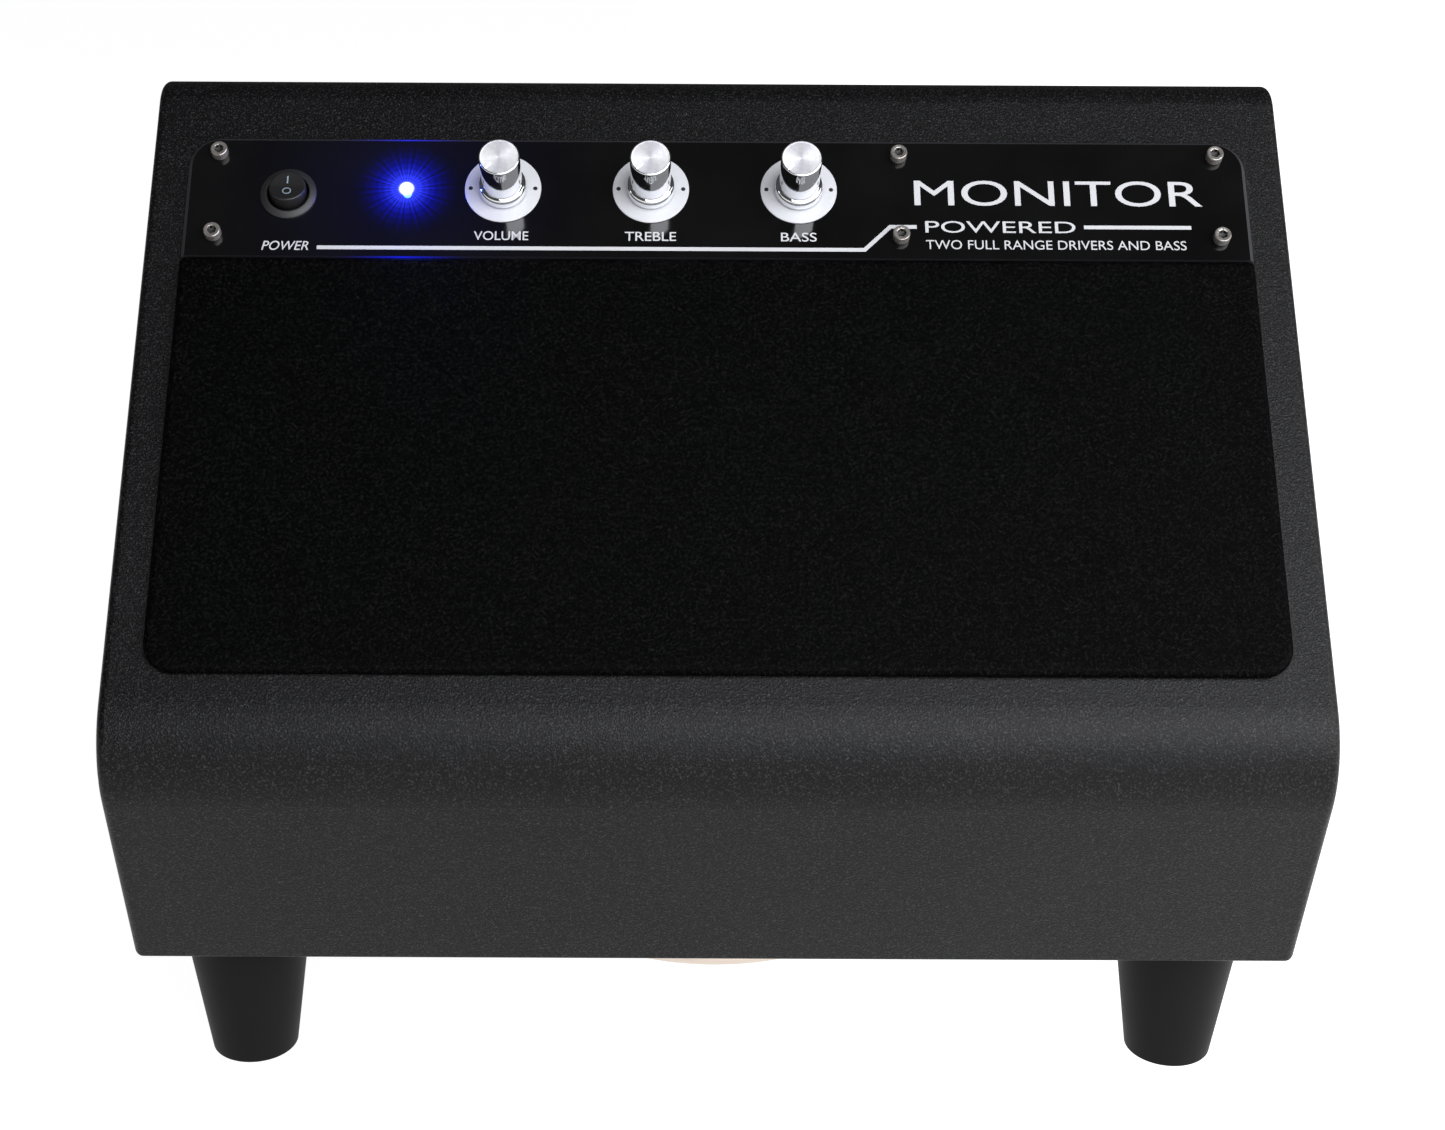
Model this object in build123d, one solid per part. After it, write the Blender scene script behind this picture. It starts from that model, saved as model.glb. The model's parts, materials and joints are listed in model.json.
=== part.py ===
from build123d import *
import os
from math import cos, radians, sin, tan

# Floor wedge monitor: a powered loudspeaker with two full-range drivers behind a cloth
# grille on the slope, a control fascia above them, and a bass driver firing at the floor.
# Millimetres. +X is to the right seen from the front, +Y to the back, +Z up.
# The origin is on the floor under the middle of the cabinet.

# Cabinet
cabinet_width = 466.0
cabinet_bottom_depth = 186.0  # bottom front edge to the back
slope_angle = 47.3  # degrees above the floor
front_lean = 19.4  # degrees the front board leans forward as it rises
front_length = 111.0  # up the front board to where its plane meets the slope's
bend_radius = 39.0  # outside of the bend between front and slope
crown_radius = 16.0  # outside of the round top edge
heel_radius = 1.5  # round along the bottom edges
edge_radius = 3.5  # round along the outer edges of the two sides
board = 12.0
side_board = 15.0
board_joint = 40.0  # up the slope, under the grille, where the front and slope boards meet
fit_gap = 0.3  # between a let-in part and its rebate

# Feet
foot_height = 65.0
foot_top_radius = 27.0
foot_bottom_radius = 17.8
foot_round = 1.0
foot_x = 195.0
foot_inset = 41.0  # front and back edges of the bottom to the foot centres
foot_screw_radius = 2.75
foot_screw_head = 5.0
foot_screw_head_height = 3.2
foot_counterbore = 5.4
foot_seat = 5.2  # height of the screw head's seat above the floor

# Control fascia. Distances up the slope are measured from the line where the
# planes of the front and the slope meet.
fascia_width = 434.0
fascia_low = 212.0
fascia_high = 267.5
fascia_corner = 13.0
fascia_thickness = 3.0
fascia_chamfer = 1.6
screw_columns = (-204.3, 74.5, 204.3)
screw_rows = (221.8, 259.7)
cap_screw_radius = 2.0
cap_screw_head = 3.5
cap_screw_head_height = 4.0
cap_screw_socket = 3.0  # across flats
cap_screw_floor = 1.8  # metal under the socket
control_row = 243.4
knob_columns = {"volume": -87.5, "treble": -27.1, "bass": 33.3}
led_x = -127.0
led_radius = 2.5
rocker_x = -175.0
rocker_row = 240.4

# Control plate let into the slope behind the fascia
plate_left = -193.0
plate_right = 58.0
plate_low = 225.0
plate_high = 259.0
plate_thickness = 1.5
plate_lip = 5.0
circuit_length = 160.0
circuit_width = 20.0
circuit_x = -27.0

# Knobs and potentiometers
disc_radius = 15.6
disc_thickness = 0.6
disc_hole_radius = 4.4
knob_radius = 8.25
knob_skirt_radius = 9.9
knob_skirt_height = 5.0
knob_top = 28.0  # above the slope
knob_gap = 0.6  # between disc and knob
knob_hollow_radius = 6.2  # room for the nut under the knob
pointer_angle = 225.0  # notch direction when turned fully down, from +X towards up the slope
shaft_radius = 3.0
running_clearance = 0.05
bush_radius = 3.5
bush_top = 5.0
bush_nut = 10.0  # across flats
bush_nut_height = 2.2
knob_clearance_hole = 7.0  # in the fascia
pot_radius = 8.5
pot_depth = 9.0
shaft_low = -5.7
shaft_socket_floor = 5.0  # knob left above the shaft

# Round rocker switch
bezel_radius = 11.5
bezel_height = 2.0
switch_barrel_radius = 9.8
switch_depth = 15.0
switch_cavity_radius = 8.6
switch_cavity_depth = 8.0
rocker_radius = 7.5
rocker_depth = 5.0
rocker_proud = 2.6  # middle of the level rocker above its bezel
rocker_half_throw = 8.0  # degrees each side of level
rocker_pin_radius = 1.2

# Cloth grille
grille_width = 434.0
grille_low = 34.5
grille_high = 211.4
grille_corner = 12.0
grille_gap = 0.6  # shadow gap between the grille and the slope
grille_front = 4.6
cloth_thickness = 0.6
grille_round = 2.8
window_radius = 61.0
peg_radius = 3.0
peg_low = -7.5
cup_radius = 5.0
cup_low = -9.5
peg_spots = [(x, s) for x in (-196.0, 0.0, 196.0) for s in (52.0, 196.0)]

# Drivers
driver_x = 109.5
driver_row = 122.5
full_range = {
    "flange": 58.0,
    "rebate": 4.0,
    "lip": 51.0,
    "basket": 49.0,
    "roll": 46.5,
    "cone": 38.6,
    "coil": 10.3,
    "cone_depth": 19.0,
    "basket_depth": 34.0,
    "seat": 33.0,
    "magnet": 36.0,
    "magnet_height": 21.0,
    "cap": 13.0,
    "cap_height": 5.0,
    "window": 26.0,
    "screws": 4,
    "screw_circle": 54.5,
    "screw_radius": 1.7,
}
bass_unit = {
    "flange": 80.0,
    "rebate": 4.0,
    "lip": 72.0,
    "basket": 69.5,
    "roll": 67.0,
    "cone": 55.0,
    "coil": 16.3,
    "cone_depth": 29.0,
    "basket_depth": 54.0,
    "seat": 44.0,
    "magnet": 48.0,
    "magnet_height": 27.0,
    "cap": 21.0,
    "cap_height": 8.0,
    "window": 36.0,
    "screws": 6,
    "screw_circle": 76.0,
    "screw_radius": 2.0,
}
driver_wall = 1.6
ledge = 1.2  # surround ledge below the flange's front
surround_thickness = 0.8
cone_thickness = 0.8
cone_gap = 0.4  # between cone and surround
magnet_plate = 5.0
coil_float = 4.5  # room under the voice coil
chamber_radius = 62.0
chamber_wall = 3.0
chamber_depth = 66.0
trim_radius = 82.0
trim_drop = 10.6  # bass trim ring below the cabinet
trim_inner = 69.0
trim_round = 3.5
trim_counterbore = 4.2
trim_sink = 2.4  # screw heads below the ring's face

# Amplifier plate at the back
amp_width = 236.0
amp_height = 132.0
amp_z = 232.0
amp_recess = 3.0
amp_thickness = 2.0
amp_lip = 10.0
amp_screw_radius = 1.5
amp_screw_head = 3.0
amp_screw_head_height = 1.8
jack_spots = [(-84.0, 266.0), (-52.0, 266.0)]
jack_bore = 3.25
jack_depth = 29.0
jack_bush = 6.0
jack_nut = 15.0  # across flats
jack_nut_height = 2.2
inlet_x = 78.0
inlet_z = 200.0
inlet_size = (25.0, 17.5)
inlet_depth = 16.0
inlet_wall = 1.5
inlet_rim = 3.5
pin_length = 10.0
board_thickness = 1.6
sink_width = 64.0
sink_height = 80.0
sink_base = 4.0
fin_pitch = 8.0
fin_gap = 5.0

# Transformer
ring_radius = 42.0
ring_hole = 14.0
ring_height = 36.0
ring_round = 6.0
ring_x = 148.0


def meet(point_a, way_a, point_b, way_b):
    """Point where two lines in the side section meet."""
    cross = way_a[0] * way_b[1] - way_a[1] * way_b[0]
    gap = (point_b[0] - point_a[0], point_b[1] - point_a[1])
    along = (gap[0] * way_b[1] - gap[1] * way_b[0]) / cross
    return (point_a[0] + along * way_a[0], point_a[1] + along * way_a[1])


# Side section of the cabinet, in (y, z)
front_way = (-sin(radians(front_lean)), cos(radians(front_lean)))
slope_way = (cos(radians(slope_angle)), sin(radians(slope_angle)))
front_in = (front_way[1], -front_way[0])
slope_in = (slope_way[1], -slope_way[0])
turn = radians(90 + front_lean - slope_angle)
nose_reach = bend_radius * tan(turn / 2)
bend_front = front_length - nose_reach
bend_centre_y = front_way[0] * bend_front + front_in[0] * bend_radius
front_y = bend_centre_y - bend_radius
section_shift = -(front_y + cabinet_bottom_depth) / 2
heel = (section_shift, foot_height)
nose = (heel[0] + front_way[0] * front_length, heel[1] + front_way[1] * front_length)
back_y = section_shift + cabinet_bottom_depth
slope = Plane(origin=(0, *nose), x_dir=(1, 0, 0), z_dir=(0, -slope_way[1], slope_way[0]))
crown_reach = crown_radius / tan(radians(90 - slope_angle) / 2)
crown = meet(nose, slope_way, (back_y, 0), (0, 1))
crown_foot_z = crown[1] - crown_reach
middle_y = section_shift + cabinet_bottom_depth / 2
under = Plane(origin=(0, middle_y, foot_height), x_dir=(1, 0, 0), z_dir=(0, 0, -1))
behind = Plane(origin=(0, back_y, 0), x_dir=(-1, 0, 0), z_dir=(0, 1, 0))
inner_width = cabinet_width - 2 * side_board


def rod(radius, low, high, x=0.0, y=0.0):
    """Round bar along local Z."""
    return Pos(x, y, (low + high) / 2) * Cylinder(radius, high - low)


def block(width, length, low, high, x=0.0, y=0.0):
    """Square-cornered block standing along local Z."""
    return Pos(x, y, (low + high) / 2) * Box(width, length, high - low)


def hex_bar(across_flats, low, high, x=0.0, y=0.0):
    """Hexagonal bar along local Z."""
    face = RegularPolygon(across_flats / 2, 6, major_radius=False)
    return Pos(x, y, low) * extrude(face, amount=high - low)


def turned(*points):
    """Solid turned about local Z from (radius, height) points."""
    return revolve(Plane.XZ * make_face(Polyline(*points, close=True)), axis=Axis.Z)


def group(pieces):
    """Several separate solids as one node."""
    return Compound([solid for piece in pieces for solid in piece.solids()])


def round_panel(width, low, high, low_radius, high_radius):
    """Flat outline with its own corner radius at each end."""
    face = Pos(0, (low + high) / 2) * Rectangle(width, high - low)
    face = fillet(face.vertices().sort_by(Axis.Y)[:2], low_radius)
    return fillet(face.vertices().sort_by(Axis.Y)[-2:], high_radius)


def cabinet_section(inset):
    """Side section of the cabinet, drawn in by inset all round."""
    front_point = (heel[0] + front_in[0] * inset, heel[1] + front_in[1] * inset)
    slope_point = (nose[0] + slope_in[0] * inset, nose[1] + slope_in[1] * inset)
    low_point = (heel[0], foot_height + inset)
    back_point = (back_y - inset, 0)
    corners = [
        meet(front_point, front_way, low_point, (1, 0)),
        meet(front_point, front_way, slope_point, slope_way),
        meet(slope_point, slope_way, back_point, (0, 1)),
        meet(back_point, (0, 1), low_point, (1, 0)),
    ]
    face = make_face(Polyline(*corners, close=True))
    for corner, radius in ((corners[1], bend_radius), (corners[2], crown_radius)):
        nearest = face.vertices().sort_by_distance((*corner, 0))[:1]
        face = fillet(nearest, radius - inset)
    if inset < heel_radius:
        for corner in (corners[0], corners[3]):
            nearest = face.vertices().sort_by_distance((*corner, 0))[:1]
            face = fillet(nearest, heel_radius - inset)
    return face


def across(face, width, left):
    """Side section made into a solid from x = left to left + width."""
    return Pos(left, 0, 0) * extrude(Plane.YZ * face, amount=width)


def bottom_section():
    """Bottom board, fitted between the front and back boards."""
    front_point = (heel[0] + front_in[0] * board, heel[1] + front_in[1] * board)
    low = meet(front_point, front_way, (0, foot_height), (1, 0))
    high = meet(front_point, front_way, (0, foot_height + board), (1, 0))
    inner_back = back_y - board
    corners = [low, (inner_back, low[1]), (inner_back, high[1]), high]
    return make_face(Polyline(*corners, close=True))


def foot_spots():
    """Centre of each foot by name."""
    front = section_shift + foot_inset
    back = back_y - foot_inset
    rows = {"front": front, "back": back}
    sides = {"left": -foot_x, "right": foot_x}
    return {f"{row}_{side}": (x, y) for row, y in rows.items() for side, x in sides.items()}


def driver_places():
    """Plane of each driver's mounting face, pointing the way it fires."""
    places = {}
    for name, x in (("left", -driver_x), ("right", driver_x)):
        places[name] = slope * Pos(x, driver_row, 0)
    return places


def ring_spots(size):
    """Screw centres round a driver's flange."""
    return [loc.position for loc in PolarLocations(size["screw_circle"], size["screws"], 45)]


def driver_cutter(size, depth):
    """Hole, flange rebate and screw holes that a board needs for a driver."""
    cutter = rod(size["basket"] + 0.5, -depth - 1, 1)
    cutter += rod(size["flange"] + fit_gap, -size["rebate"], 1)
    for spot in ring_spots(size):
        cutter += rod(size["screw_radius"], -depth + 1, 1, spot.X, spot.Y)
    return cutter


def make_sides():
    """Left and right boards with rounded outer edges."""
    parts = {}
    solid = across(cabinet_section(0), side_board, 0)
    right = Pos(cabinet_width / 2 - side_board, 0, 0) * solid
    right = fillet(right.edges().group_by(Axis.X)[-1], edge_radius)
    parts["side_panel_right"] = right
    parts["side_panel_left"] = mirror(right, about=Plane.YZ)
    return parts


def make_boards():
    """Bent front board, and the slope board with its round top edge and cut-outs."""
    wrap = across(cabinet_section(0) - cabinet_section(board), inner_width, -inner_width / 2)
    wrap -= across(bottom_section(), inner_width, -inner_width / 2)
    wrap -= Pos(0, back_y - board / 2, crown_foot_z / 2) * Box(inner_width, board, crown_foot_z)
    for place in driver_places().values():
        wrap -= place * driver_cutter(full_range, board)
    middle = ((plate_left + plate_right) / 2, (plate_low + plate_high) / 2)
    width = plate_right - plate_left
    height = plate_high - plate_low
    pocket = block(width, height, -plate_thickness, 1, *middle)
    pocket += block(width - 2 * plate_lip, height - 2 * plate_lip, -board - 1, 1, *middle)
    for x in screw_columns:
        for s in screw_rows:
            pocket += rod(cap_screw_radius, -board + 2, 1, x, s)
    for x, s in peg_spots:
        pocket += rod(cup_radius, cup_low, 1, x, s)
    wrap -= slope * pocket
    below = block(inner_width, 2 * front_length, -2 * front_length, 1, 0, board_joint - front_length)
    return {"front_board": wrap & slope * below, "slope_board": wrap - slope * below}


def make_bottom():
    """Bottom board with the bass driver hole and the foot screw holes."""
    panel = across(bottom_section(), inner_width, -inner_width / 2)
    panel -= under * driver_cutter(bass_unit, board)
    for x, y in foot_spots().values():
        panel -= rod(foot_screw_radius, foot_height - 1, foot_height + board + 1, x, y)
    return panel


def make_back():
    """Back board with a rebated opening for the amplifier plate."""
    low = foot_height
    panel = across(cabinet_section(0), inner_width, -inner_width / 2)
    slab = Pos(0, back_y - board / 2, (low + crown_foot_z) / 2)
    panel &= slab * Box(inner_width, board, crown_foot_z - low)
    rebate = amp_recess + amp_thickness
    hole = block(amp_width + 2 * fit_gap, amp_height + 2 * fit_gap, -rebate, 1, 0, amp_z)
    hole += block(amp_width - 2 * amp_lip, amp_height - 2 * amp_lip, -board - 1, 1, 0, amp_z)
    for x, z in amp_screw_spots():
        hole += rod(amp_screw_radius, -board + 1, 0, x, z)
    return panel - behind * hole


def make_feet():
    """Four tapered feet, each held by one long screw from below."""
    foot = turned((0, 0), (foot_bottom_radius, 0), (foot_top_radius, foot_height), (0, foot_height))
    foot = fillet(foot.edges().group_by(Axis.Z)[0], foot_round)
    foot -= rod(foot_screw_radius, 0, foot_height)
    foot -= rod(foot_counterbore, 0, foot_seat)
    head_low = foot_seat - foot_screw_head_height
    parts = {}
    screws = []
    for name, (x, y) in foot_spots().items():
        parts[f"foot_{name}"] = Pos(x, y, 0) * foot
        screw = rod(foot_screw_radius, foot_seat, foot_height + board, x, y)
        screw += rod(foot_screw_head, head_low, foot_seat, x, y)
        slot = block(1.3 * foot_screw_head, 1.2, head_low - 1, head_low + 1.6, x, y)
        screws.append(screw - slot)
    parts["foot_screws"] = group(screws)
    return parts


def grille_slab(low, high, inset):
    """Grille outline drawn in by inset, from low to high, with a round front edge."""
    face = round_panel(
        grille_width - 2 * inset,
        grille_low + inset,
        grille_high - inset,
        grille_corner - inset,
        grille_round - inset,
    )
    slab = Pos(0, 0, low) * extrude(face, amount=high - low)
    return fillet(slab.edges().group_by(Axis.Z)[-1], grille_round - inset)


def make_grille():
    """Flat frame, its cloth skin, and the pegs that push into cups in the slope."""
    outer = grille_slab(grille_gap, grille_front, 0.0)
    core = grille_slab(grille_gap, grille_front - cloth_thickness, cloth_thickness)
    frame = core
    for x in (-driver_x, driver_x):
        frame -= rod(window_radius, 0, grille_front, x, driver_row)
    pegs = [rod(peg_radius, peg_low, grille_gap, x, s) for x, s in peg_spots]
    cups = [rod(cup_radius, cup_low, -0.2, x, s) - rod(peg_radius, peg_low, 0, x, s) for x, s in peg_spots]
    parts = {"grille_frame": frame, "grille_cloth": outer - core}
    parts["grille_pegs"] = group(pegs)
    parts["grille_cups"] = group(cups)
    return {name: slope * part for name, part in parts.items()}


def make_fascia():
    """Acrylic panel, its screws, the discs on it, and the plate and board behind it."""
    height = fascia_high - fascia_low
    face = Pos(0, fascia_low + height / 2) * Rectangle(fascia_width, height)
    face = fillet(face.vertices().sort_by(Axis.Y)[-2:], fascia_corner)
    fascia = extrude(face, amount=fascia_thickness)
    lit_edges = fascia.edges().group_by(Axis.Z)[-1].sort_by(Axis.Y)[1:]
    fascia = chamfer(lit_edges, fascia_chamfer)
    middle = ((plate_left + plate_right) / 2, (plate_low + plate_high) / 2)
    plate = block(plate_right - plate_left, plate_high - plate_low, -plate_thickness, 0, *middle)
    discs = []
    nuts = []
    pots = []
    for x in knob_columns.values():
        fascia -= rod(knob_clearance_hole, -1, fascia_thickness + 1, x, control_row)
        plate -= rod(bush_radius, -plate_thickness - 1, 1, x, control_row)
        disc = rod(disc_radius, fascia_thickness, fascia_thickness + disc_thickness, x, control_row)
        discs.append(disc - rod(disc_hole_radius, 0, knob_top, x, control_row))
        nut = hex_bar(bush_nut, 0, bush_nut_height, x, control_row)
        nuts.append(nut - rod(bush_radius, -1, bush_nut_height + 1, x, control_row))
        pot = rod(pot_radius, -plate_thickness - pot_depth, -plate_thickness, x, control_row)
        pot += rod(bush_radius, -plate_thickness, bush_top, x, control_row)
        bore = rod(shaft_radius + running_clearance, shaft_low - fit_gap, knob_top, x, control_row)
        pots.append(pot - bore)
    for radius, x, s in (led_radius, led_x, control_row), (switch_barrel_radius, rocker_x, rocker_row):
        fascia -= rod(radius, -1, fascia_thickness + 1, x, s)
        plate -= rod(radius, -plate_thickness - 1, 1, x, s)
    screws = []
    for x in screw_columns:
        for s in screw_rows:
            fascia -= rod(cap_screw_radius, -1, fascia_thickness + 1, x, s)
            top = fascia_thickness + cap_screw_head_height
            screw = rod(cap_screw_radius, -board + 2, fascia_thickness, x, s)
            screw += rod(cap_screw_head, fascia_thickness, top, x, s)
            socket = hex_bar(cap_screw_socket, fascia_thickness + cap_screw_floor, top + 1, x, s)
            screws.append(screw - socket)
    low = -plate_thickness - pot_depth - board_thickness
    circuit = block(circuit_length, circuit_width, low, low + board_thickness, circuit_x, control_row)
    parts = {
        "control_fascia": fascia,
        "fascia_screws": group(screws),
        "knob_discs": group(discs),
        "control_plate": plate,
        "control_board": circuit,
        "control_pots": group(pots),
        "pot_nuts": group(nuts),
    }
    return {name: slope * part for name, part in parts.items()}


def make_knobs():
    """Chrome knob with a flared foot and a pointer notch, and its shaft, three times."""
    low = fascia_thickness + disc_thickness + knob_gap
    skirt = low + knob_skirt_height
    knob = turned(
        (0, low),
        (knob_skirt_radius, low),
        (knob_skirt_radius, low + 1.2),
        (knob_radius + 0.4, skirt - 0.8),
        (knob_radius, skirt),
        (knob_radius, knob_top - 0.6),
        (knob_radius - 0.6, knob_top),
        (0, knob_top),
    )
    knob -= rod(knob_hollow_radius, low, low + 2.6)
    knob -= rod(shaft_radius, low, knob_top - shaft_socket_floor)
    notch = Pos(knob_radius - 2.0, 0, knob_top) * Box(4.6, 1.3, 1.4)
    knob -= Rot(0, 0, pointer_angle) * notch
    shaft = rod(shaft_radius, shaft_low, knob_top - shaft_socket_floor)
    parts = {}
    for name, x in knob_columns.items():
        parts[f"{name}_knob"] = slope * Pos(x, control_row, 0) * knob
        parts[f"{name}_shaft"] = slope * Pos(x, control_row, 0) * shaft
    return parts


def make_switch():
    """Round rocker switch, resting with its upper half pressed in."""
    top = fascia_thickness + bezel_height
    body = rod(switch_barrel_radius, -switch_depth, fascia_thickness)
    ring = rod(bezel_radius, fascia_thickness, top)
    body += chamfer(ring.edges().group_by(Axis.Z)[-1], 0.8)
    body -= rod(switch_cavity_radius, -switch_cavity_depth, top + 1)
    pin_bore = Cylinder(rocker_pin_radius + running_clearance, 2 * (switch_barrel_radius - 0.3))
    body -= Rot(0, 90, 0) * pin_bore
    rise = rocker_radius * tan(radians(rocker_half_throw))
    outline = Polyline(
        (-rocker_radius, -rocker_depth),
        (rocker_radius, -rocker_depth),
        (rocker_radius, top + rocker_proud + rise),
        (0, top + rocker_proud),
        (-rocker_radius, top + rocker_proud + rise),
        close=True,
    )
    rocker = extrude(Plane.YZ * make_face(outline), amount=rocker_radius, both=True)
    rocker &= rod(rocker_radius, -rocker_depth, top + rocker_proud + 2 * rise)
    rocker += Rot(0, 90, 0) * Cylinder(rocker_pin_radius, 2 * (switch_barrel_radius - 0.6))
    place = slope * Pos(rocker_x, rocker_row, 0)
    rocker = Rot(-rocker_half_throw, 0, 0) * rocker
    return {"switch_body": place * body, "power_rocker": place * rocker}


def make_led():
    """Domed indicator lens and the sleeve that holds it."""
    lens = rod(led_radius, -6.0, fascia_thickness + 0.4)
    lens += Pos(0, 0, fascia_thickness + 0.4) * Sphere(led_radius * 0.9, arc_size1=0)
    sleeve = rod(4.0, -6.0, -plate_thickness) - rod(led_radius, -7, 0)
    place = slope * Pos(led_x, control_row, 0)
    return {"led_lens": place * lens, "led_sleeve": place * sleeve}


def basket(size):
    """Driver frame: flange, surround ledge, and a spoked bowl down to the magnet seat."""
    depth = size["basket_depth"]
    inner = size["basket"] - driver_wall
    frame = turned(
        (size["lip"], 0),
        (size["flange"], 0),
        (size["flange"], -size["rebate"]),
        (size["basket"], -size["rebate"]),
        (size["seat"], -depth),
        (size["coil"] + 1.5, -depth),
        (size["coil"] + 1.5, -depth + driver_wall),
        (size["seat"] - driver_wall, -depth + driver_wall),
        (inner, -size["rebate"]),
        (size["roll"], -size["rebate"]),
        (size["roll"], -ledge),
        (size["lip"], -ledge),
    )
    low = -depth + driver_wall + 3
    high = -size["rebate"] - 3
    opening = block(size["basket"], size["window"], low, high, size["basket"] * 0.85, 0)
    for spot in PolarLocations(0, 4, 0):
        frame -= spot * opening
    for spot in ring_spots(size):
        frame -= rod(size["screw_radius"], -size["rebate"] - 1, 1, spot.X, spot.Y)
    return frame


def magnet(size):
    """Motor: front plate, ferrite ring, back plate and centre pole."""
    top = -size["basket_depth"]
    low = top - size["magnet_height"]
    plate = magnet_plate
    pole = size["coil"] - 1.0
    gap = size["coil"] + 0.8
    steel = size["magnet"] - 2.5
    return turned(
        (0, top),
        (pole, top),
        (pole, low + plate),
        (gap, low + plate),
        (gap, top),
        (steel, top),
        (steel, top - plate),
        (size["magnet"], top - plate),
        (size["magnet"], low + plate),
        (steel, low + plate),
        (steel, low),
        (0, low),
    )


def surround(size):
    """Half-roll rubber ring glued to the frame's ledge."""
    inner = size["cone"] + cone_gap
    roll = (size["roll"] - inner) / 2
    centre = (size["roll"] + inner) / 2
    arch = Circle(roll) - Circle(roll - surround_thickness)
    arch &= Pos(0, roll / 2) * Rectangle(2 * roll, roll)
    lip_width = size["lip"] - size["roll"] + surround_thickness
    lip = Rectangle(lip_width, surround_thickness)
    lip_centre = size["lip"] - lip_width / 2
    face = Pos(centre, -ledge) * arch + Pos(lip_centre, surround_thickness / 2 - ledge) * lip
    return revolve(Plane.XZ * face, axis=Axis.Z)


def cone(size):
    """Thin cone with its voice coil former."""
    depth = size["cone_depth"]
    coil = size["coil"]
    wall = cone_thickness / 2
    foot = -size["basket_depth"] - size["magnet_height"] + magnet_plate + coil_float
    return turned(
        (size["cone"], -ledge),
        (coil, -depth - ledge),
        (coil, foot),
        (coil - wall, foot),
        (coil - wall, -depth - ledge + cone_thickness),
        (size["cone"] - wall, -ledge + cone_thickness),
    )


def cone_height(size, radius):
    """Height of the cone's front surface at a radius."""
    reach = size["cone"] - size["coil"]
    edge = size["cone"] - cone_thickness / 2
    return -ledge + cone_thickness - size["cone_depth"] * (edge - radius) / reach


def dust_cap(size):
    """Shallow dome over the voice coil."""
    radius = size["cap"]
    rise = size["cap_height"]
    sphere_radius = (radius**2 + rise**2) / (2 * rise)
    low = cone_height(size, radius) + 0.05
    ball = Pos(0, 0, low + rise - sphere_radius) * Sphere(sphere_radius)
    hollow = Pos(0, 0, low + rise - sphere_radius) * Sphere(sphere_radius - 0.6)
    return (ball - hollow) & rod(radius + 1, low, low + rise + 1)


def driver_screws(size, drop):
    """Round-head screws through the flange, their heads drop above it."""
    screws = []
    for spot in ring_spots(size):
        screw = rod(size["screw_radius"], -board + 1, drop, spot.X, spot.Y)
        head = rod(2 * size["screw_radius"], drop, drop + 1.6, spot.X, spot.Y)
        slot = block(2.6 * size["screw_radius"], 0.9, drop + 0.8, drop + 2, spot.X, spot.Y)
        screws.append(screw + head - slot)
    return screws


def make_driver(size):
    """One loudspeaker's own pieces on its mounting face."""
    return {
        "frame": basket(size),
        "magnet": magnet(size),
        "surround": surround(size),
        "cone": cone(size),
        "dust_cap": dust_cap(size),
    }


def make_drivers():
    """Both full-range drivers with their back chambers, and the bass driver."""
    parts = {}
    screws = [under * screw for screw in driver_screws(bass_unit, trim_drop - trim_sink)]
    cup = rod(chamber_radius, -chamber_depth, -board)
    cup -= rod(chamber_radius - chamber_wall, -chamber_depth + chamber_wall, 0)
    for name, place in driver_places().items():
        for piece, solid in make_driver(full_range).items():
            parts[f"{name}_driver_{piece}"] = place * solid
        parts[f"{name}_chamber"] = place * cup
        screws += [place * screw for screw in driver_screws(full_range, 0)]
    parts["driver_screws"] = group(screws)
    for piece, solid in make_driver(bass_unit).items():
        parts[f"bass_driver_{piece}"] = under * solid
    trim = rod(trim_radius, 0, trim_drop) - rod(trim_inner, -1, trim_drop + 1)
    trim = fillet(trim.edges().group_by(Axis.Z)[-1], trim_round)
    for spot in ring_spots(bass_unit):
        trim -= rod(bass_unit["screw_radius"], -1, trim_drop + 1, spot.X, spot.Y)
        trim -= rod(trim_counterbore, trim_drop - trim_sink, trim_drop + 1, spot.X, spot.Y)
    parts["bass_trim_ring"] = under * trim
    return parts


def amp_screw_spots():
    """Screw centres round the amplifier plate, in (x, z)."""
    half_width = amp_width / 2 - amp_lip / 2
    half_height = amp_height / 2 - amp_lip / 2
    return [(x, amp_z + z) for x in (-half_width, 0, half_width) for z in (-half_height, half_height)]


def make_inlet(face_top):
    """Appliance inlet let into the back plate, and its three pins."""
    width, height = inlet_size
    low = face_top - inlet_depth
    outer = (width + 2 * inlet_wall, height + 2 * inlet_wall)
    rim = (width + 2 * inlet_rim, height + 2 * inlet_rim)
    inlet = block(*outer, low - 2, face_top, inlet_x, inlet_z)
    inlet += block(*rim, face_top, face_top + 2.0, inlet_x, inlet_z)
    inlet -= block(width, height, low, 0, inlet_x, inlet_z)
    pins = []
    for x, z in ((-7.0, -2.0), (7.0, -2.0), (0.0, 2.0)):
        pins.append(block(2.0, 4.0, low, low + pin_length, inlet_x + x, inlet_z + z))
    return inlet, group(pins)


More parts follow.
